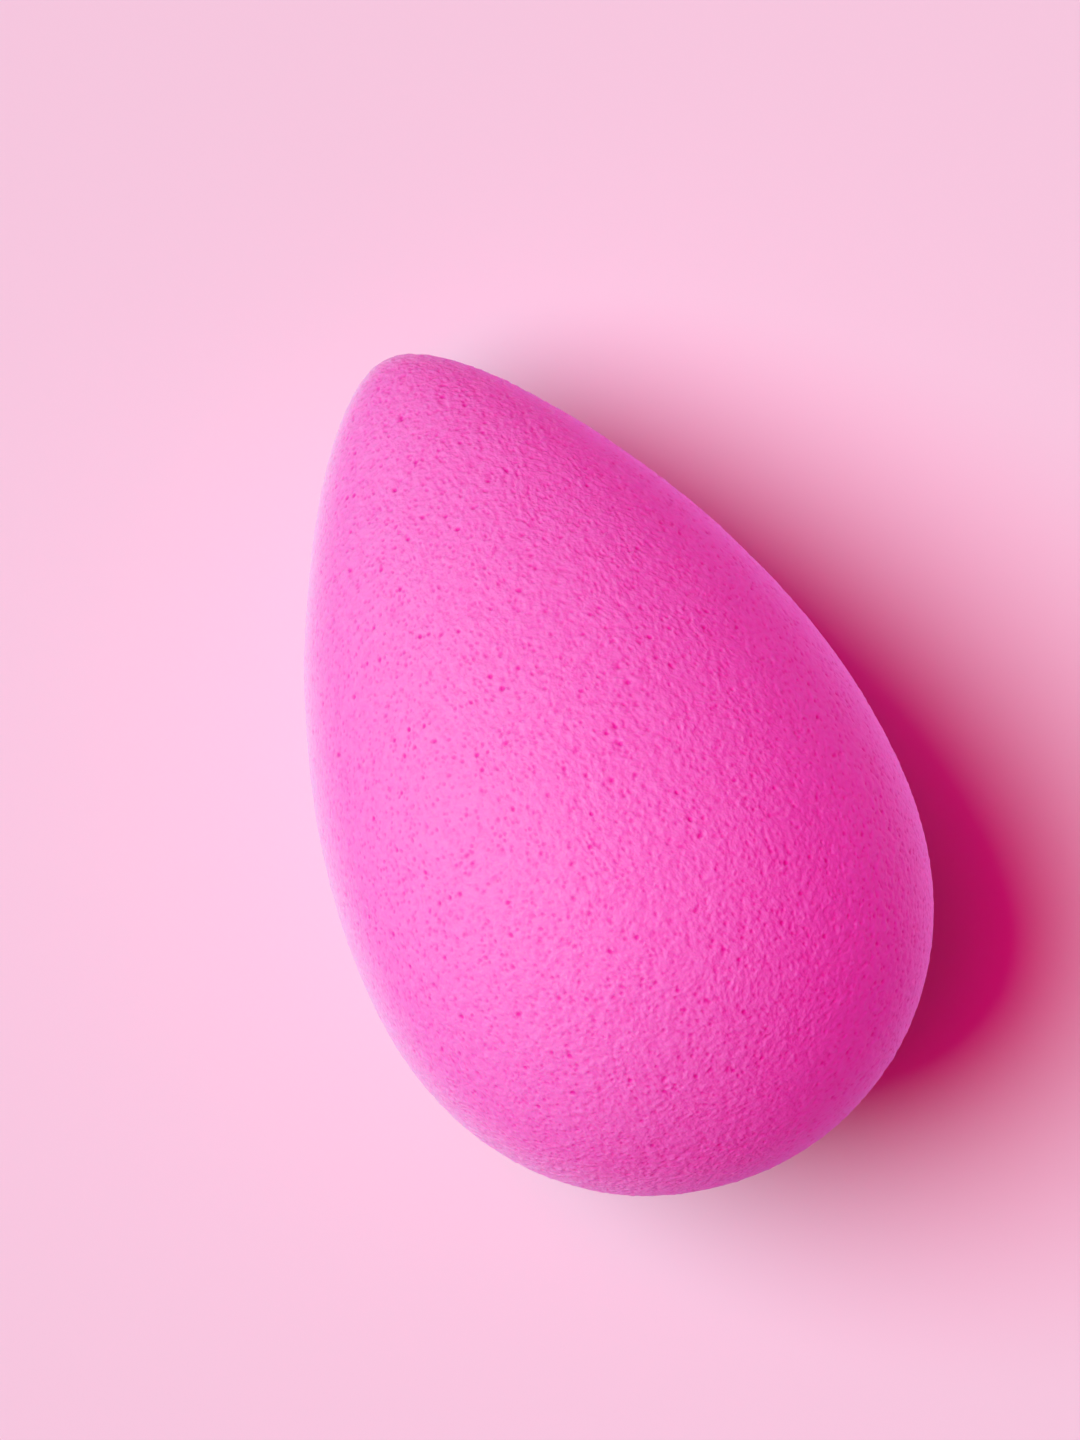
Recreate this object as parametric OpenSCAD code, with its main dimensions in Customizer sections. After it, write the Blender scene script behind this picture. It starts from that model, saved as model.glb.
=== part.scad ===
// Teardrop makeup sponge: one block of soft foam, coloured right through, lying on its side.
// +X runs from the round end to the tip, +Z is up, and the origin is the spot that it lies on.

/* [Size] */
// Length along the axis, from the round end to the tip
sponge_l = 63; // [54:0.5:75]
// Diameter of the widest ring
sponge_d = 40; // [34:0.5:46]
// Distance along the axis from the round end to the widest ring
widest_at = 22; // [17:0.5:27]

/* [Rest] */
// Depth that the weight presses flat where the side lies
press_depth = 0.5; // [0.3:0.05:1.5]

/* [Curve] */
// Fullness of the round end at its pole, as a share of the radius
pole_share = 0.475; // [0.35:0.005:0.6]
// Fullness of the round end beside the widest ring, as a share of widest_at
round_side_share = 0.674; // [0.5:0.002:0.75]
// How far the widest ring carries on towards the tip, as a share of the taper's length
bulge_share = 0.417; // [0.3:0.001:0.5]
// Place of the shoulder along the taper, as a share of the taper's length
shoulder_along_share = 0.766; // [0.65:0.002:0.8]
// Distance of the shoulder from the axis, as a share of the radius
shoulder_out_share = 0.565; // [0.45:0.005:0.65]
// Bluntness of the tip, as a share of the radius
tip_share = 0.216; // [0.15:0.002:0.35]

/* [Smoothness] */
// Steps along each half of the outline
outline_steps = 30; // [16:1:48]
// Facets round the axis
round_facets = 96; // [48:12:144]

/* [Hidden] */

foam_colour = "#f85fc3";

radius = sponge_d / 2;
taper_l = sponge_l - widest_at;

// Points that pull the outline, each as [along the axis, out from the axis]
round_pulls = [
    [0, 0],
    [0, pole_share * radius],
    [(1 - round_side_share) * widest_at, radius],
    [widest_at, radius]
];
taper_pulls = [
    [widest_at, radius],
    [widest_at + bulge_share * taper_l, radius],
    [widest_at + shoulder_along_share * taper_l, shoulder_out_share * radius],
    [sponge_l, tip_share * radius],
    [sponge_l, 0]
];

// Point at u, from 0 to 1, on the smooth curve that a list of points pulls
function curve_at(pulls, u) =
    len(pulls) == 1
    ? pulls[0]
    : curve_at([for (i = [1:len(pulls) - 1]) (1 - u) * pulls[i - 1] + u * pulls[i]], u);

// Steps between neighbouring points, which pull the curve's own direction
function steps_of(pulls) = [for (i = [1:len(pulls) - 1]) pulls[i] - pulls[i - 1]];

// Place and direction along the whole outline: s is 0 at the round end, 1 at the widest ring, 2 at the tip
function outline_at(s) = s < 1 ? curve_at(round_pulls, s) : curve_at(taper_pulls, s - 1);
function heading_at(s) =
    s < 1 ? curve_at(steps_of(round_pulls), s) : curve_at(steps_of(taper_pulls), s - 1);

outline = [for (i = [0:2 * outline_steps]) outline_at(i / outline_steps)];

// Centre of mass on the axis, from the slices between neighbouring outline points
function slice(i) =
    let (a = outline[i - 1], b = outline[i])
    (b[0] - a[0]) * (a[1] * a[1] + a[1] * b[1] + b[1] * b[1]);
slices = [for (i = [1:len(outline) - 1]) slice(i)];
slice_mids = [for (i = [1:len(outline) - 1]) (outline[i - 1][0] + outline[i][0]) / 2];
slice_ones = [for (v = slices) 1];
mass_at = (slices * slice_mids) / (slices * slice_ones);

// The outline's nearest point to the centre of mass, which is where the sponge comes to rest:
// up to it the outline closes in on the centre of mass, and past it draws away, so halving finds it
function away(s) = (outline_at(s) - [mass_at, 0]) * heading_at(s) > 0;
function rest_between(low, high, halvings) =
    let (mid = (low + high) / 2)
    halvings == 0
    ? mid
    : away(mid)
    ? rest_between(low, mid, halvings - 1)
    : rest_between(mid, high, halvings - 1);
search_low_share = 0.3;
search_high_share = 1.8;
search_halvings = 24;
rest_at = outline_at(rest_between(search_low_share, search_high_share, search_halvings));

// The tip dips by this angle, and the centre of mass lies at this height
rest_tilt = atan2(rest_at[0] - mass_at, rest_at[1]);
mass_height = norm(rest_at - [mass_at, 0]) - press_depth;

module teardrop() {
    rotate_extrude($fn = round_facets)
        polygon([for (p = outline) [p[1], p[0]]]);
}

module sponge_body() {
    color(foam_colour)
        difference() {
            translate([0, 0, mass_height])
                rotate([0, 90 + rest_tilt, 0])
                    translate([0, 0, -mass_at])
                        teardrop();
            // All that would reach below the surface is pressed flat
            translate([-sponge_l, -sponge_l, -sponge_l])
                cube([2 * sponge_l, 2 * sponge_l, sponge_l]);
        }
}

sponge_body();
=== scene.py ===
"""Teardrop makeup sponge: the foam body that dresses its solid, and a plain pale stage for it."""

import math

import bpy
import numpy as np
from bpy.props import FloatProperty, FloatVectorProperty, IntProperty, PointerProperty
from bpy.types import Operator, Panel, PropertyGroup
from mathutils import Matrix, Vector


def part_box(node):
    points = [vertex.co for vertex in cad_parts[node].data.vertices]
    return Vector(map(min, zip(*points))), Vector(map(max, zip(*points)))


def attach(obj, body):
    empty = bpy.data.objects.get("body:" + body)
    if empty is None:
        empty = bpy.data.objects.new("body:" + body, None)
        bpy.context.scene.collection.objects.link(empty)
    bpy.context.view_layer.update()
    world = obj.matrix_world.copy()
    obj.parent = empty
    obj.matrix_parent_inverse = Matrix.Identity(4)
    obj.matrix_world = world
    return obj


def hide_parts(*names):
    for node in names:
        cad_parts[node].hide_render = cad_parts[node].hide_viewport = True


bl_info = {
    "name": "Makeup Sponge",
    "version": (1, 0, 0),
    "blender": (4, 5, 0),
    "location": "View3D > Sidebar > Sponge",
    "description": "Models a teardrop makeup sponge of fine soft foam and the stage that it lies on",
    "category": "Add Mesh",
}

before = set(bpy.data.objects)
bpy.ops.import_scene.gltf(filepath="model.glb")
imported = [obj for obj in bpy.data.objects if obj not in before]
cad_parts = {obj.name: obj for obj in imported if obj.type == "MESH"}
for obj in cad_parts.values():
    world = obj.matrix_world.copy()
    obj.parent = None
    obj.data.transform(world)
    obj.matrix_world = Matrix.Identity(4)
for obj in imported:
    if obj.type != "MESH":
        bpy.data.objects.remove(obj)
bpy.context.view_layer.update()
BODY_LOW, BODY_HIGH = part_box("sponge_body")

MM = 0.001
BODY = "root"
NODE = "sponge_body"

# Size of the photograph, and its focal length, in pixels
PHOTO_WIDE, PHOTO_HIGH = 1080, 1440
FOCAL_PIXELS = 6217
# Pixel of the photograph that the origin falls on, and the camera's turn in degrees
ORIGIN_X, ORIGIN_Y = 600.2, 810.2
CAMERA_TURN = -90 - 25.48
# Width of the camera's sensor in millimetres
SENSOR_WIDE = 36

# Most that the outline in this file may be off the solid's box
FIT_LIMIT = 0.3 * MM
# Points along each half of the outline
OUTLINE_STEPS = 400
# Gap round each of the map's six squares, as a share of its side
MAP_INSET = 0.01

# Radius of a bowl as a share of its spacing, and the power that spreads how deep the bowls are
PIT_RADIUS = 0.5
PIT_POWER = 0.8
PORE_RADIUS = 0.25
PORE_POWER = 0.6
# Height above the floor over which the broad unevenness fades in
SWAY_FADE = 1.5 * MM
# Places in the noise's fourth direction, so that no two patterns match
GRAIN_PLACE = 3.4
SWAY_PLACE = 7.6
NAP_PLACE = 5.5

# Share of the paler colour on its own, and what each pattern adds to it: painted highlight on the raised
# grain and away from the pits, and random paler flecks from the nap
HIGHLIGHT_AND_FLECK_START = 0.35
HIGHLIGHT_AND_FLECK_BY_PIT = -1.0
HIGHLIGHT_AND_FLECK_BY_NAP = 0.35
HIGHLIGHT_AND_FLECK_BY_GRAIN = 0.4
# Share of the pore colour on its own, and what each pattern adds to it: painted shade in the pits and
# pores, and random darker mottle from the nap and grain
SHADE_AND_MOTTLE_START = -0.05
SHADE_AND_MOTTLE_BY_NAP = -0.3
SHADE_AND_MOTTLE_BY_PIT = 0.75
SHADE_AND_MOTTLE_BY_PORE = 1.8
SHADE_AND_MOTTLE_BY_GRAIN = -0.2
# Share of the painted sheen, a paler colour where the skin is seen edge on, on its own, and what each
# pattern adds to it
PAINTED_SHEEN_START = 0.9
PAINTED_SHEEN_BY_NAP = 0.22
PAINTED_SHEEN_BY_PIT = -0.4
# How edge on the skin is seen where the painted sheen starts and ends, and the most of it that shows
EDGE_BLEND = 0.5
EDGE_FROM = 0.5
EDGE_TO = 1.0
PAINTED_SHEEN_MOST = 0.48

# Gloss of the foam, and the light that passes through its skin
FOAM_ROUGHNESS = 0.65
FOAM_SPECULAR = 0.3
THROUGH_WEIGHT = 0.2
THROUGH_RADIUS = (1.0, 0.25, 0.5)
THROUGH_SCALE = 3 * MM

# Radius, corners and roughness of the round floor
FLOOR_RADIUS = 4
FLOOR_CORNERS = 96
FLOOR_ROUGHNESS = 0.9
# Least level of a lamp, so that a black one still works
LEAST_LEVEL = 0.001

# Each lamp's name, colour setting and piece that it lights, then its turn, height and spread in degrees
LAMPS = (
    ("key_lamp", "key_colour", "foam_body", 58.5, 40, 44),
    ("top_lamp", "top_colour", "foam_body", 72.5, 60, 40),
    ("bounce_lamp", "bounce_colour", "foam_body", 279.5, 25, 60),
    ("under_lamp", "under_colour", "foam_body", 264.5, -28, 50),
    ("floor_side_lamp", "floor_side_colour", "floor", 56.5, 52.5, 42),
    ("floor_top_lamp", "floor_top_colour", "floor", 55.5, 67, 44),
)


class SpongeShape(PropertyGroup):
    """Outline of the teardrop, in the same sizes and shares as its solid."""

    length: FloatProperty(
        name="Length", description="From the round end to the tip, along the axis",
        default=63 * MM, min=54 * MM, max=75 * MM, unit="LENGTH", precision=4)
    diameter: FloatProperty(
        name="Diameter", description="Across the widest ring",
        default=BODY_HIGH.y - BODY_LOW.y, min=34 * MM, max=46 * MM, unit="LENGTH", precision=4)
    widest_at: FloatProperty(
        name="Widest at", description="From the round end to the widest ring, along the axis",
        default=22 * MM, min=17 * MM, max=27 * MM, unit="LENGTH", precision=4)
    press_depth: FloatProperty(
        name="Press depth", description="How deep the weight presses the side flat",
        default=0.5 * MM, min=0.3 * MM, max=1.5 * MM, unit="LENGTH", precision=4)
    pole_share: FloatProperty(
        name="Pole", description="Fullness of the round end at its pole, as a share of the radius",
        default=0.475, min=0.35, max=0.6, subtype="FACTOR")
    round_side_share: FloatProperty(
        name="Round side", description="Fullness of the round end beside the widest ring",
        default=0.674, min=0.5, max=0.75, subtype="FACTOR")
    bulge_share: FloatProperty(
        name="Bulge", description="How far the widest ring carries on towards the tip",
        default=0.417, min=0.3, max=0.5, subtype="FACTOR")
    shoulder_along_share: FloatProperty(
        name="Shoulder along", description="Place of the shoulder along the taper",
        default=0.766, min=0.65, max=0.8, subtype="FACTOR")
    shoulder_out_share: FloatProperty(
        name="Shoulder out", description="Distance of the shoulder from the axis",
        default=0.565, min=0.45, max=0.65, subtype="FACTOR")
    tip_share: FloatProperty(
        name="Tip", description="Bluntness of the tip, as a share of the radius",
        default=0.216, min=0.15, max=0.35, subtype="FACTOR")


class SpongeFoam(PropertyGroup):
    """Relief and colours of the foam, with the colours of its painted shade, painted highlight and
    painted sheen.
    """

    segments: IntProperty(
        name="Cage segments", description="Faces along each edge of the cage",
        default=48, min=12, max=64)
    fineness: IntProperty(
        name="Fineness", description="Times that each face of the cage is halved each way",
        default=3, min=1, max=4)
    pit_spacing: FloatProperty(
        name="Pit spacing", description="Spacing of the shallow pits that the foam's cells leave",
        default=0.42 * MM, min=0.2 * MM, max=2 * MM, unit="LENGTH", precision=5)
    pit_depth: FloatProperty(
        name="Pit depth", description="Depth of the deepest shallow pits",
        default=0.1 * MM, min=0, max=0.3 * MM, unit="LENGTH", precision=5)
    pore_spacing: FloatProperty(
        name="Pore spacing", description="Spacing of the open pores in the foam",
        default=1.1 * MM, min=0.2 * MM, max=4 * MM, unit="LENGTH", precision=5)
    pore_depth: FloatProperty(
        name="Pore depth", description="Depth of the deepest open pores",
        default=0.12 * MM, min=0, max=0.5 * MM, unit="LENGTH", precision=5)
    grain_size: FloatProperty(
        name="Grain size", description="Width of one bump of the foam's grain",
        default=0.52 * MM, min=0.2 * MM, max=2 * MM, unit="LENGTH", precision=5)
    grain_height: FloatProperty(
        name="Grain height", description="Height of the foam's grain",
        default=0.1 * MM, min=0, max=0.2 * MM, unit="LENGTH", precision=5)
    nap_size: FloatProperty(
        name="Nap size", description="Width of one fleck of the foam's fine nap",
        default=0.3 * MM, min=0.05 * MM, max=1 * MM, unit="LENGTH", precision=5)
    nap_height: FloatProperty(
        name="Nap height", description="Height of the foam's fine nap",
        default=0.045 * MM, min=0, max=0.1 * MM, unit="LENGTH", precision=5)
    stir_size: FloatProperty(
        name="Stir size", description="Width of one swirl that pushes the pits, pores and grain about",
        default=4 * MM, min=0.5 * MM, max=10 * MM, unit="LENGTH", precision=5)
    stir_reach: FloatProperty(
        name="Stir reach", description="How far a swirl pushes them",
        default=0.7 * MM, min=0, max=5 * MM, unit="LENGTH", precision=5)
    sway_size: FloatProperty(
        name="Sway size", description="Width of the broad uneven places left by moulding",
        default=11 * MM, min=4 * MM, max=30 * MM, unit="LENGTH", precision=4)
    sway_height: FloatProperty(
        name="Sway height", description="Height of the broad uneven places",
        default=0.16 * MM, min=0, max=0.5 * MM, unit="LENGTH", precision=5)
    base_colour: FloatVectorProperty(
        name="Foam colour", description="Colour of the foam between its pits",
        default=(0.90, 0.093, 0.52), size=3, min=0, max=1, subtype="COLOR")
    # Painted shade: the dark colour put deep in the pits and pores, also used for random darker mottle
    # in the nap and grain
    pore_shade_and_mottle_colour: FloatVectorProperty(
        name="Pore colour", description="Colour deep in a pore",
        default=(0.83, 0.010, 0.38), size=3, min=0, max=1, subtype="COLOR")
    # Painted highlight: the paler colour put on the raised grain and away from the pits, also used for
    # random paler flecks in the nap
    highlight_and_fleck_colour: FloatVectorProperty(
        name="Ridge colour", description="Colour of the thin ridges between the pits",
        default=(0.925, 0.16, 0.61), size=3, min=0, max=1, subtype="COLOR")
    # Painted sheen: the paler colour that the foam turns where its skin is seen edge on
    painted_sheen_colour: FloatVectorProperty(
        name="Velvet colour", description="Paler colour of the foam's fine nap where it is seen edge on",
        default=(1.0, 0.58, 1.0), size=3, min=0, max=1, subtype="COLOR")


class SpongeStage(PropertyGroup):
    """Floor, lamps and camera."""

    floor_colour: FloatVectorProperty(
        name="Floor colour", description="Colour of the plain pale floor",
        default=(0.945, 0.57, 0.72), size=3, min=0, max=1, subtype="COLOR")
    returned_colour: FloatVectorProperty(
        name="Returned colour", description="Colour of the floor in the light that it sends back up",
        default=(0.9, 0.25, 0.75), size=3, min=0, max=1, subtype="COLOR")
    key_colour: FloatVectorProperty(
        name="Key colour", description="Colour and level of the soft key lamp on the sponge",
        default=(0.0, 1.78, 0.42), size=3, min=0, max=4, subtype="COLOR")
    top_colour: FloatVectorProperty(
        name="Top colour", description="Colour and level of the soft lamp above the sponge",
        default=(0.89, 0.0, 0.78), size=3, min=0, max=4, subtype="COLOR")
    bounce_colour: FloatVectorProperty(
        name="Bounce colour", description="Colour and level of the pink card that faces the key lamp",
        default=(0.27, 0.01, 0.21), size=3, min=0, max=1, subtype="COLOR")
    under_colour: FloatVectorProperty(
        name="Under colour", description="Colour and level of the low card that lights the shaded rim",
        default=(0.12, 0.2, 0.19), size=3, min=0, max=1, subtype="COLOR")
    floor_side_colour: FloatVectorProperty(
        name="Floor side colour", description="Colour and level of the slanting lamp on the floor",
        default=(0.18, 1.25, 0.97), size=3, min=0, max=4, subtype="COLOR")
    floor_top_colour: FloatVectorProperty(
        name="Floor top colour", description="Colour and level of the steeper lamp on the floor",
        default=(0.7, 0.0, 0.25), size=3, min=0, max=4, subtype="COLOR")
    fill_colour: FloatVectorProperty(
        name="Fill colour", description="Colour and level of the light from all round",
        default=(0.176, 0.0, 0.01), size=3, min=0, max=1, subtype="COLOR")
    camera_height: FloatProperty(
        name="Camera height", description="Height of the camera above the floor",
        default=0.45, min=0.2, max=2, unit="LENGTH")


def deselect_all():
    """Leaves nothing selected, so that the next operator acts on its own piece alone."""
    for thing in bpy.context.selected_objects:
        thing.select_set(False)


def curve_at(pulls, u):
    """Points at each u, from 0 to 1, on the smooth curve that the pulls draw to themselves."""
    points = [np.outer(np.ones_like(u), pull) for pull in pulls]
    while len(points) > 1:
        points = [(1 - u)[:, None] * a + u[:, None] * b for a, b in zip(points, points[1:])]
    return points[0]


def outline_of(shape):
    """The teardrop's outline from the round end to the tip, as places along and out from its axis."""
    radius, taper = shape.diameter / 2, shape.length - shape.widest_at
    round_pulls = (
        (0, 0),
        (0, shape.pole_share * radius),
        ((1 - shape.round_side_share) * shape.widest_at, radius),
        (shape.widest_at, radius),
    )
    taper_pulls = (
        (shape.widest_at, radius),
        (shape.widest_at + shape.bulge_share * taper, radius),
        (shape.widest_at + shape.shoulder_along_share * taper, shape.shoulder_out_share * radius),
        (shape.length, shape.tip_share * radius),
        (shape.length, 0),
    )
    u = np.linspace(0, 1, OUTLINE_STEPS)
    points = np.vstack([curve_at(round_pulls, u), curve_at(taper_pulls, u[1:])])
    return points[:, 0], points[:, 1]


def rest_of(along, out):
    """Place of the centre of mass along the axis, the tip's dip at rest, and the centre's height."""
    step = np.diff(along)
    slices = step * (out[1:] ** 2 + out[1:] * out[:-1] + out[:-1] ** 2)
    mass_at = np.sum(slices * (along[1:] + along[:-1]) / 2) / np.sum(slices)
    reach = np.hypot(along - mass_at, out)
    nearest = np.argmin(reach)
    return mass_at, math.atan2(along[nearest] - mass_at, out[nearest]), reach[nearest]


def share_of_area(along, out):
    """Share of the skin's area between the round end and each outline point."""
    bands = np.hypot(np.diff(along), np.diff(out)) * (out[1:] + out[:-1])
    area = np.concatenate([[0], np.cumsum(bands)])
    return area / area[-1]


def unfold_cage(mesh):
    """Lays the cage's six sides out as six squares, three across and two up, on the UV map named OFBake.
    """
    layer = mesh.uv_layers.active or mesh.uv_layers.new()
    layer.name = "OFBake"
    count = len(mesh.polygons)
    corners = np.empty(len(mesh.vertices) * 3)
    mesh.vertices.foreach_get("co", corners)
    corners = corners.reshape(-1, 3)
    loops = np.empty(count * 4, int)
    mesh.loops.foreach_get("vertex_index", loops)
    at = corners[loops].reshape(count, 4, 3)
    middle = at.mean(axis=1)
    axis = np.argmax(np.abs(middle), axis=1)
    positive = middle[np.arange(count), axis] > 0
    first, second = (axis + 1) % 3, (axis + 2) % 3
    rows = np.arange(count)[:, None]
    sides = np.arange(4)[None, :]
    a = at[rows, sides, first[:, None]]
    b = at[rows, sides, second[:, None]]
    a = np.where(positive[:, None], a, -a)
    u = (axis[:, None] + MAP_INSET + (a + 1) / 2 * (1 - 2 * MAP_INSET)) / 3
    v = (positive[:, None] + MAP_INSET + (b + 1) / 2 * (1 - 2 * MAP_INSET)) / 2
    layer.data.foreach_set("uv", np.stack([u, v], axis=-1).ravel())


def cage_to_teardrop(mesh, shape):
    """Moves the cage's points from the cube to the teardrop at rest, evenly spread over its skin."""
    points = np.empty(len(mesh.vertices) * 3)
    mesh.vertices.foreach_get("co", points)
    points = np.tan(points.reshape(-1, 3) * math.pi / 4)
    points /= np.linalg.norm(points, axis=1)[:, None]
    along, out = outline_of(shape)
    mass_at, dip, reach = rest_of(along, out)
    share = share_of_area(along, out)
    wanted = (1 + points[:, 0]) / 2
    ring = np.hypot(points[:, 1], points[:, 2])
    ring[ring == 0] = 1
    r = np.interp(wanted, share, out)
    x = np.interp(wanted, share, along) - mass_at
    y, z = r * points[:, 1] / ring, r * points[:, 2] / ring
    placed = np.stack([
        x * math.cos(dip) + z * math.sin(dip),
        y,
        z * math.cos(dip) - x * math.sin(dip) + reach - shape.press_depth,
    ], axis=1)
    placed[:, 2] = np.maximum(placed[:, 2], 0)
    mesh.vertices.foreach_set("co", placed.ravel())
    mesh.update()
    return placed


def check_fit(placed):
    """Stops the script if the outline above no longer fills the solid's own box."""
    low, high = Vector(placed.min(axis=0)), Vector(placed.max(axis=0))
    off = max((low - BODY_LOW).length, (high - BODY_HIGH).length)
    if off > FIT_LIMIT:
        raise RuntimeError(f"the outline is {off / MM:.2f} mm off the solid's box")


def sum_node(tree, operation, a, b=None, c=None, clamp=False):
    """A Math node whose inputs are numbers or sockets."""
    node = tree.nodes.new("ShaderNodeMath")
    node.operation = operation
    node.use_clamp = clamp
    for socket, value in zip(node.inputs, (a, b, c)):
        if isinstance(value, (int, float)):
            socket.default_value = value
        elif value is not None:
            tree.links.new(value, socket)
    return node.outputs[0]


def weighed_sum(tree, start, *parts):
    """The start plus each pattern times its weight, kept between 0 and 1."""
    total = start
    for number, (pattern, weight) in enumerate(parts, 1):
        total = sum_node(tree, "MULTIPLY_ADD", pattern, weight, total, clamp=number == len(parts))
    return total


def bowls(tree, place, spacing, radius_share, power):
    """Bowls of random strength, cut by the skin from bubbles that fill the foam at one spacing."""
    cells = tree.nodes.new("ShaderNodeTexVoronoi")
    cells.inputs["Scale"].default_value = 1 / spacing
    tree.links.new(place, cells.inputs["Vector"])
    bowl = tree.nodes.new("ShaderNodeMapRange")
    bowl.interpolation_type = "SMOOTHSTEP"
    bowl.inputs["From Min"].default_value = radius_share
    bowl.inputs["From Max"].default_value = 0
    tree.links.new(cells.outputs["Distance"], bowl.inputs["Value"])
    chance = tree.nodes.new("ShaderNodeSeparateXYZ")
    tree.links.new(cells.outputs["Color"], chance.inputs[0])
    strength = sum_node(tree, "POWER", chance.outputs[0], power)
    return sum_node(tree, "MULTIPLY", bowl.outputs["Result"], strength)


def waves(tree, place, size, fourth):
    """Smooth random waves between about -1 and 1, from one place in the noise's fourth direction."""
    node = tree.nodes.new("ShaderNodeTexNoise")
    node.noise_dimensions = "4D"
    node.inputs["W"].default_value = fourth
    node.inputs["Scale"].default_value = 1 / size
    node.inputs["Detail"].default_value = 1
    tree.links.new(place, node.inputs["Vector"])
    return sum_node(tree, "MULTIPLY_ADD", node.outputs[0], 2, -1)


def stirred(tree, place, foam):
    """Places pushed about at random, so that no even lattice shows in what is drawn on them."""
    node = tree.nodes.new("ShaderNodeTexNoise")
    node.inputs["Scale"].default_value = 1 / foam.stir_size
    node.inputs["Detail"].default_value = 0
    tree.links.new(place, node.inputs["Vector"])
    middle = tree.nodes.new("ShaderNodeVectorMath")
    middle.operation = "SUBTRACT"
    middle.inputs[1].default_value = (0.5, 0.5, 0.5)
    tree.links.new(node.outputs[1], middle.inputs[0])
    push = tree.nodes.new("ShaderNodeVectorMath")
    push.operation = "MULTIPLY_ADD"
    push.inputs[1].default_value = (foam.stir_reach,) * 3
    tree.links.new(middle.outputs[0], push.inputs[0])
    tree.links.new(place, push.inputs[2])
    return push.outputs[0]


def relief_tree(foam):
    """Geometry nodes that raise the grain and sink the pits and pores, and note them on the points.

    The way that the smooth skin faces is noted too, from before the relief moves it.
    """
    tree = bpy.data.node_groups.new("foam_relief", "GeometryNodeTree")
    tree.interface.new_socket("Geometry", in_out="INPUT", socket_type="NodeSocketGeometry")
    tree.interface.new_socket("Geometry", in_out="OUTPUT", socket_type="NodeSocketGeometry")
    start = tree.nodes.new("NodeGroupInput")
    end = tree.nodes.new("NodeGroupOutput")
    place = tree.nodes.new("GeometryNodeInputPosition").outputs[0]
    normal = tree.nodes.new("GeometryNodeInputNormal").outputs[0]

    mixed = stirred(tree, place, foam)
    grain = waves(tree, mixed, foam.grain_size, GRAIN_PLACE)
    sway = waves(tree, place, foam.sway_size, SWAY_PLACE)
    pit = bowls(tree, mixed, foam.pit_spacing, PIT_RADIUS, PIT_POWER)
    pore = bowls(tree, mixed, foam.pore_spacing, PORE_RADIUS, PORE_POWER)

    height = tree.nodes.new("ShaderNodeSeparateXYZ")
    tree.links.new(place, height.inputs[0])
    free = sum_node(tree, "DIVIDE", height.outputs[2], SWAY_FADE)
    free = sum_node(tree, "MINIMUM", free, 1)
    rise = sum_node(tree, "MULTIPLY", sway, foam.sway_height)
    rise = sum_node(tree, "MULTIPLY", rise, free)
    for pattern, amount in (
        (grain, foam.grain_height), (pit, -foam.pit_depth), (pore, -foam.pore_depth),
    ):
        rise = sum_node(tree, "MULTIPLY_ADD", pattern, amount, rise)

    geometry = start.outputs[0]
    for name, kind, field in (
        ("grain", "FLOAT", grain),
        ("pit", "FLOAT", pit),
        ("pore", "FLOAT", pore),
        ("skin", "FLOAT_VECTOR", normal),
    ):
        note = tree.nodes.new("GeometryNodeStoreNamedAttribute")
        note.data_type = kind
        note.domain = "POINT"
        note.inputs["Name"].default_value = name
        tree.links.new(geometry, note.inputs["Geometry"])
        tree.links.new(field, note.inputs["Value"])
        geometry = note.outputs["Geometry"]
    offset = tree.nodes.new("ShaderNodeVectorMath")
    offset.operation = "SCALE"
    tree.links.new(normal, offset.inputs[0])
    tree.links.new(rise, offset.inputs["Scale"])
    move = tree.nodes.new("GeometryNodeSetPosition")
    tree.links.new(geometry, move.inputs["Geometry"])
    tree.links.new(offset.outputs[0], move.inputs["Offset"])
    tree.links.new(move.outputs[0], end.inputs[0])
    return tree


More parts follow.
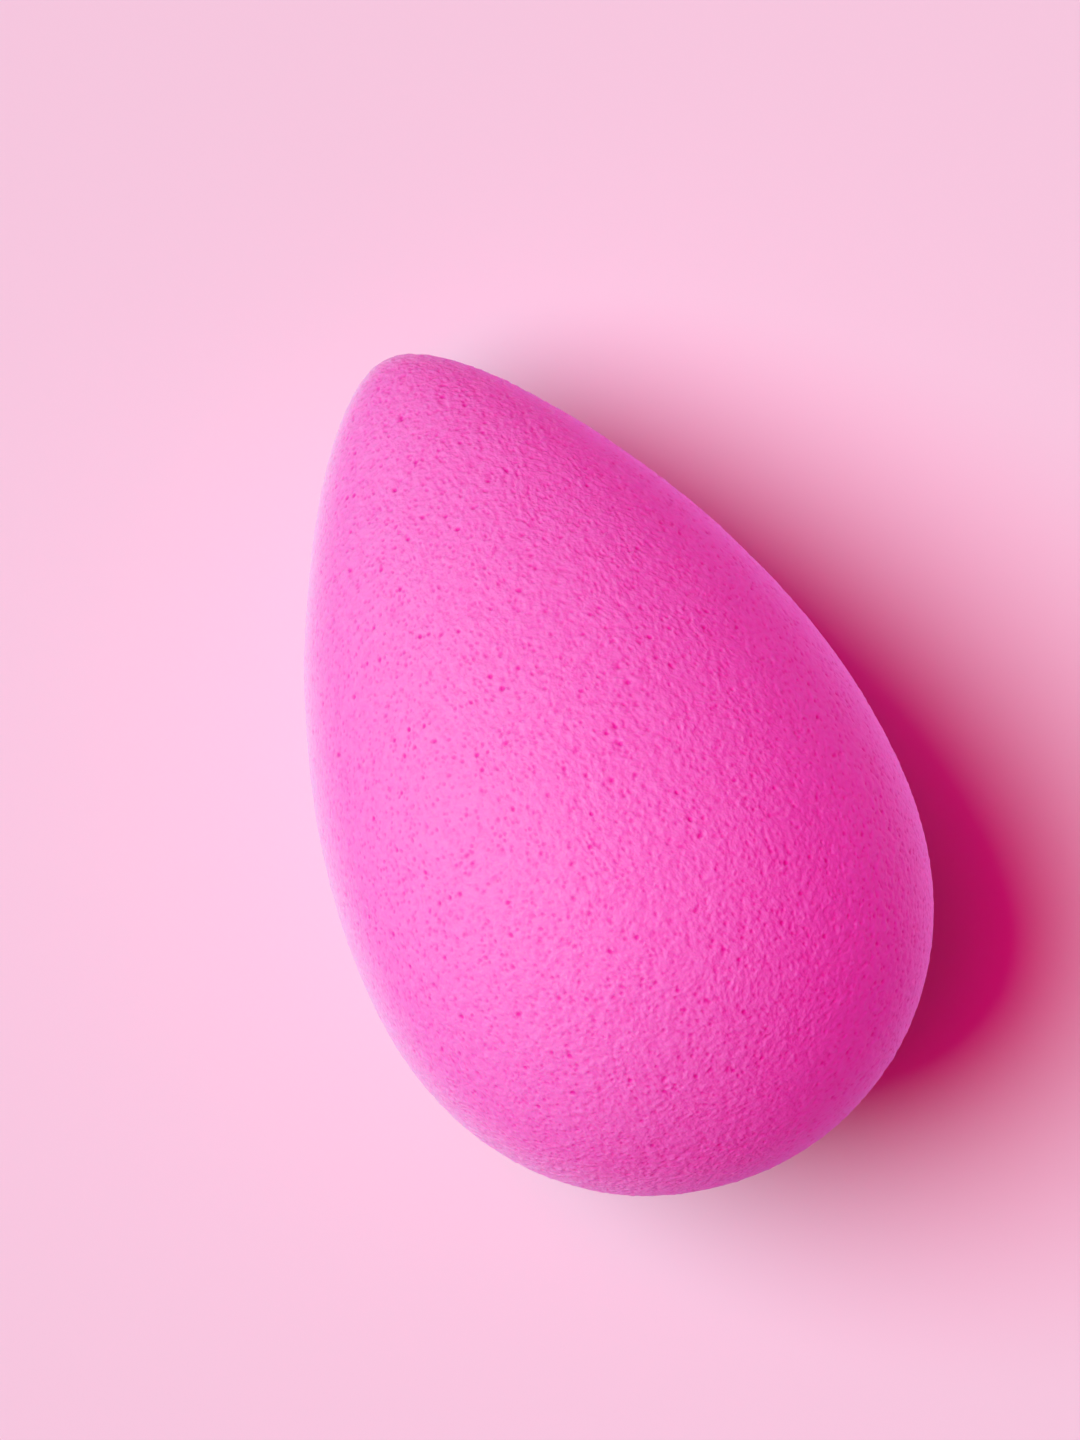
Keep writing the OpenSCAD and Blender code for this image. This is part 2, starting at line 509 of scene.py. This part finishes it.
def foam_material(foam):
    """Matte pink foam with painted shade deep in its pits and pores, painted highlight on its raised
    grain, random flecks, and a painted sheen where the skin is seen edge on.
    """
    material = bpy.data.materials.new("foam_pink")
    material.use_nodes = True
    tree = material.node_tree
    shader = tree.nodes["Principled BSDF"]

    def noted(name, output="Fac"):
        node = tree.nodes.new("ShaderNodeAttribute")
        node.attribute_name = name
        return node.outputs[output]

    def mix(factor, a, b):
        node = tree.nodes.new("ShaderNodeMix")
        node.data_type = "RGBA"
        for socket, value in ((node.inputs[0], factor), (node.inputs[6], a), (node.inputs[7], b)):
            if isinstance(value, (int, float, tuple)):
                socket.default_value = value
            else:
                tree.links.new(value, socket)
        return node.outputs[2]

    place = tree.nodes.new("ShaderNodeTexCoord").outputs["Object"]
    nap = waves(tree, stirred(tree, place, foam), foam.nap_size, NAP_PLACE)
    grain, pit, pore = noted("grain"), noted("pit"), noted("pore")
    # Painted highlight on the raised grain and away from the pits, with random paler flecks from the nap
    highlight_and_fleck = weighed_sum(
        tree, HIGHLIGHT_AND_FLECK_START, (pit, HIGHLIGHT_AND_FLECK_BY_PIT), (nap, HIGHLIGHT_AND_FLECK_BY_NAP), (grain, HIGHLIGHT_AND_FLECK_BY_GRAIN))
    colour = mix(highlight_and_fleck, (*foam.base_colour, 1), (*foam.highlight_and_fleck_colour, 1))
    # Painted shade deep in the pits and pores, with random darker mottle from the nap and grain
    deep = weighed_sum(
        tree, SHADE_AND_MOTTLE_START,
        (nap, SHADE_AND_MOTTLE_BY_NAP), (pit, SHADE_AND_MOTTLE_BY_PIT), (pore, SHADE_AND_MOTTLE_BY_PORE), (grain, SHADE_AND_MOTTLE_BY_GRAIN))
    colour = mix(deep, colour, (*foam.pore_shade_and_mottle_colour, 1))
    # Painted sheen: the colour turns paler where the smooth skin is seen edge on
    grazing = tree.nodes.new("ShaderNodeLayerWeight")
    grazing.inputs["Blend"].default_value = EDGE_BLEND
    facing = tree.nodes.new("ShaderNodeVectorTransform")
    facing.vector_type = "NORMAL"
    facing.convert_from = "OBJECT"
    facing.convert_to = "WORLD"
    tree.links.new(noted("skin", "Vector"), facing.inputs[0])
    tree.links.new(facing.outputs[0], grazing.inputs["Normal"])
    painted_sheen = tree.nodes.new("ShaderNodeMapRange")
    painted_sheen.interpolation_type = "SMOOTHSTEP"
    painted_sheen.inputs["From Min"].default_value = EDGE_FROM
    painted_sheen.inputs["From Max"].default_value = EDGE_TO
    painted_sheen.inputs["To Max"].default_value = PAINTED_SHEEN_MOST
    tree.links.new(grazing.outputs["Facing"], painted_sheen.inputs["Value"])
    sheen_share = weighed_sum(tree, PAINTED_SHEEN_START, (nap, PAINTED_SHEEN_BY_NAP), (pit, PAINTED_SHEEN_BY_PIT))
    sheen_share = sum_node(tree, "MULTIPLY", sheen_share, painted_sheen.outputs["Result"])
    colour = mix(sheen_share, colour, (*foam.painted_sheen_colour, 1))
    tree.links.new(colour, shader.inputs["Base Color"])
    bump = tree.nodes.new("ShaderNodeBump")
    bump.inputs["Strength"].default_value = 1
    bump.inputs["Distance"].default_value = foam.nap_height
    tree.links.new(nap, bump.inputs["Height"])
    tree.links.new(bump.outputs[0], shader.inputs["Normal"])
    shader.inputs["Roughness"].default_value = FOAM_ROUGHNESS
    shader.inputs["Specular IOR Level"].default_value = FOAM_SPECULAR
    shader.inputs["Subsurface Weight"].default_value = THROUGH_WEIGHT
    shader.inputs["Subsurface Radius"].default_value = THROUGH_RADIUS
    shader.inputs["Subsurface Scale"].default_value = THROUGH_SCALE
    return material


class SPONGE_OT_body(Operator):
    """Model the foam body over its solid"""

    bl_idname = "sponge.body"
    bl_label = "Foam Body"

    def execute(self, context):
        shape, foam = context.scene.sponge_shape, context.scene.sponge_foam
        deselect_all()
        bpy.ops.mesh.primitive_cube_add(size=2)
        body = context.object
        body.name = body.data.name = "foam_body"
        bpy.ops.object.mode_set(mode="EDIT")
        bpy.ops.mesh.select_all(action="SELECT")
        bpy.ops.mesh.subdivide(number_cuts=foam.segments - 1)
        bpy.ops.object.mode_set(mode="OBJECT")
        unfold_cage(body.data)
        check_fit(cage_to_teardrop(body.data, shape))
        smooth = body.modifiers.new("smooth", "SUBSURF")
        smooth.levels = smooth.render_levels = foam.fineness
        smooth.uv_smooth = "NONE"
        bpy.ops.object.modifier_apply(modifier=smooth.name)
        relief = body.modifiers.new("relief", "NODES")
        relief.node_group = relief_tree(foam)
        bpy.ops.object.modifier_apply(modifier=relief.name)
        self.rest_on_floor(body.data)
        bpy.ops.object.shade_smooth()
        body.data.materials.clear()
        body.data.materials.append(foam_material(foam))
        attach(body, BODY)
        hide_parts(NODE)
        return {"FINISHED"}

    def rest_on_floor(self, mesh):
        """Presses whatever the grain pushed below the floor back up to it."""
        points = np.empty(len(mesh.vertices) * 3, np.float32)
        mesh.vertices.foreach_get("co", points)
        points = points.reshape(-1, 3)
        points[:, 2] = np.maximum(points[:, 2], 0)
        mesh.vertices.foreach_set("co", points.ravel())
        mesh.update()


def seen_rays(tree):
    """1 for rays that show the stage, straight or mirrored, and 0 for those that carry its light."""
    rays = tree.nodes.new("ShaderNodeLightPath")
    either = sum_node(tree, "ADD", rays.outputs["Is Camera Ray"], rays.outputs["Is Glossy Ray"])
    return sum_node(tree, "ADD", either, rays.outputs["Is Transmission Ray"], clamp=True)


def far_floor_colour(stage):
    """Colour of the lit floor far from the sponge, in which the backdrop meets it without a line."""
    light = np.array(stage.fill_colour)
    for _, colour_name, lit, _, height, _ in LAMPS:
        if lit == "floor":
            light += np.array(getattr(stage, colour_name)) * math.sin(math.radians(height))
    return np.minimum(light * np.array(stage.floor_colour), 1)


class SPONGE_OT_stage(Operator):
    """Set up the plain pale floor, the soft lamps and the camera"""

    bl_idname = "sponge.stage"
    bl_label = "Stage"

    def execute(self, context):
        stage = context.scene.sponge_stage
        self.add_floor(context, stage)
        self.add_lamps(context, stage)
        self.add_fill(context, stage)
        self.add_camera(context, stage)
        context.scene.view_settings.view_transform = "Standard"
        return {"FINISHED"}

    def add_floor(self, context, stage):
        deselect_all()
        bpy.ops.mesh.primitive_circle_add(
            vertices=FLOOR_CORNERS, radius=FLOOR_RADIUS, fill_type="NGON")
        floor = context.object
        floor.name = floor.data.name = "floor"
        material = bpy.data.materials.new("floor_pale")
        material.use_nodes = True
        tree = material.node_tree
        shader = tree.nodes["Principled BSDF"]
        colour = tree.nodes.new("ShaderNodeMix")
        colour.data_type = "RGBA"
        colour.inputs[6].default_value = (*stage.returned_colour, 1)
        colour.inputs[7].default_value = (*stage.floor_colour, 1)
        tree.links.new(seen_rays(tree), colour.inputs[0])
        tree.links.new(colour.outputs[2], shader.inputs["Base Color"])
        shader.inputs["Roughness"].default_value = FLOOR_ROUGHNESS
        shader.inputs["Specular IOR Level"].default_value = 0.0
        floor.data.materials.append(material)

    def add_lamps(self, context, stage):
        """Soft lamps, each for the sponge or for the floor, so that the shadow's softness is its own."""
        groups = {}
        for name in ("foam_body", "floor"):
            groups[name] = bpy.data.collections.new("lit_" + name)
            if name in context.scene.objects:
                groups[name].objects.link(context.scene.objects[name])
        for name, colour_name, lit, turn, height, spread in LAMPS:
            colour = getattr(stage, colour_name)
            deselect_all()
            bpy.ops.object.light_add(type="SUN")
            lamp = context.object
            lamp.name = name
            level = max(*colour, LEAST_LEVEL)
            lamp.data.energy = math.pi * level
            lamp.data.color = [part / level for part in colour]
            lamp.data.angle = math.radians(spread)
            lamp.rotation_euler = (0, math.radians(90 - height), math.radians(turn))
            lamp.light_linking.receiver_collection = groups[lit]
            if height < 0:
                lamp.light_linking.blocker_collection = groups[lit]

    def add_fill(self, context, stage):
        world = bpy.data.worlds.new("soft_fill")
        context.scene.world = world
        world.use_nodes = True
        tree = world.node_tree
        fill = tree.nodes["Background"]
        fill.inputs["Color"].default_value = (*stage.fill_colour, 1)
        seen = tree.nodes.new("ShaderNodeBackground")
        seen.inputs["Color"].default_value = (*far_floor_colour(stage), 1)
        choice = tree.nodes.new("ShaderNodeMixShader")
        tree.links.new(seen_rays(tree), choice.inputs["Fac"])
        tree.links.new(fill.outputs[0], choice.inputs[1])
        tree.links.new(seen.outputs[0], choice.inputs[2])
        tree.links.new(choice.outputs[0], tree.nodes["World Output"].inputs["Surface"])

    def add_camera(self, context, stage):
        deselect_all()
        bpy.ops.object.camera_add()
        camera = context.object
        camera.name = "camera"
        context.scene.camera = camera
        turn = math.radians(CAMERA_TURN)
        camera.data.sensor_width = SENSOR_WIDE
        camera.data.lens = SENSOR_WIDE * FOCAL_PIXELS / PHOTO_HIGH
        right = Vector((math.cos(turn), math.sin(turn), 0))
        up = Vector((-math.sin(turn), math.cos(turn), 0))
        x_pixels, y_pixels = ORIGIN_X - PHOTO_WIDE / 2, ORIGIN_Y - PHOTO_HIGH / 2
        distance = stage.camera_height
        offset = right * -x_pixels + up * y_pixels
        camera.location = offset * distance / FOCAL_PIXELS + Vector((0, 0, distance))
        camera.rotation_euler = (0, 0, turn)


class SPONGE_PT_sponge(Panel):
    """Sizes and looks of the sponge, with a button for each step"""

    bl_idname = "SPONGE_PT_sponge"
    bl_label = "Makeup Sponge"
    bl_space_type = "VIEW_3D"
    bl_region_type = "UI"
    bl_category = "Sponge"

    def draw(self, context):
        scene = context.scene
        for title, settings, names, steps in (
            ("Shape", scene.sponge_shape, SHAPE_NAMES, ()),
            ("Foam", scene.sponge_foam, FOAM_NAMES, (SPONGE_OT_body,)),
            ("Stage", scene.sponge_stage, STAGE_NAMES, (SPONGE_OT_stage,)),
        ):
            box = self.layout.box()
            box.label(text=title)
            for name in names:
                box.prop(settings, name)
            for step in steps:
                box.operator(step.bl_idname)


SHAPE_NAMES = (
    "length", "diameter", "widest_at", "press_depth", "pole_share", "round_side_share",
    "bulge_share", "shoulder_along_share", "shoulder_out_share", "tip_share",
)
FOAM_NAMES = (
    "segments", "fineness", "pit_spacing", "pit_depth", "pore_spacing", "pore_depth",
    "grain_size", "grain_height", "nap_size", "nap_height", "stir_size", "stir_reach",
    "sway_size", "sway_height", "base_colour", "pore_shade_and_mottle_colour", "highlight_and_fleck_colour", "painted_sheen_colour",
)
STAGE_NAMES = (
    "floor_colour", "returned_colour", "key_colour", "top_colour", "bounce_colour", "under_colour",
    "floor_side_colour", "floor_top_colour", "fill_colour", "camera_height",
)

CLASSES = (SpongeShape, SpongeFoam, SpongeStage, SPONGE_OT_body, SPONGE_OT_stage, SPONGE_PT_sponge)


def register():
    for cls in CLASSES:
        bpy.utils.register_class(cls)
    bpy.types.Scene.sponge_shape = PointerProperty(type=SpongeShape)
    bpy.types.Scene.sponge_foam = PointerProperty(type=SpongeFoam)
    bpy.types.Scene.sponge_stage = PointerProperty(type=SpongeStage)


def unregister():
    del bpy.types.Scene.sponge_stage
    del bpy.types.Scene.sponge_foam
    del bpy.types.Scene.sponge_shape
    for cls in reversed(CLASSES):
        bpy.utils.unregister_class(cls)


def main():
    register()
    bpy.ops.sponge.body()
    bpy.ops.sponge.stage()


if __name__ == "__main__":
    main()
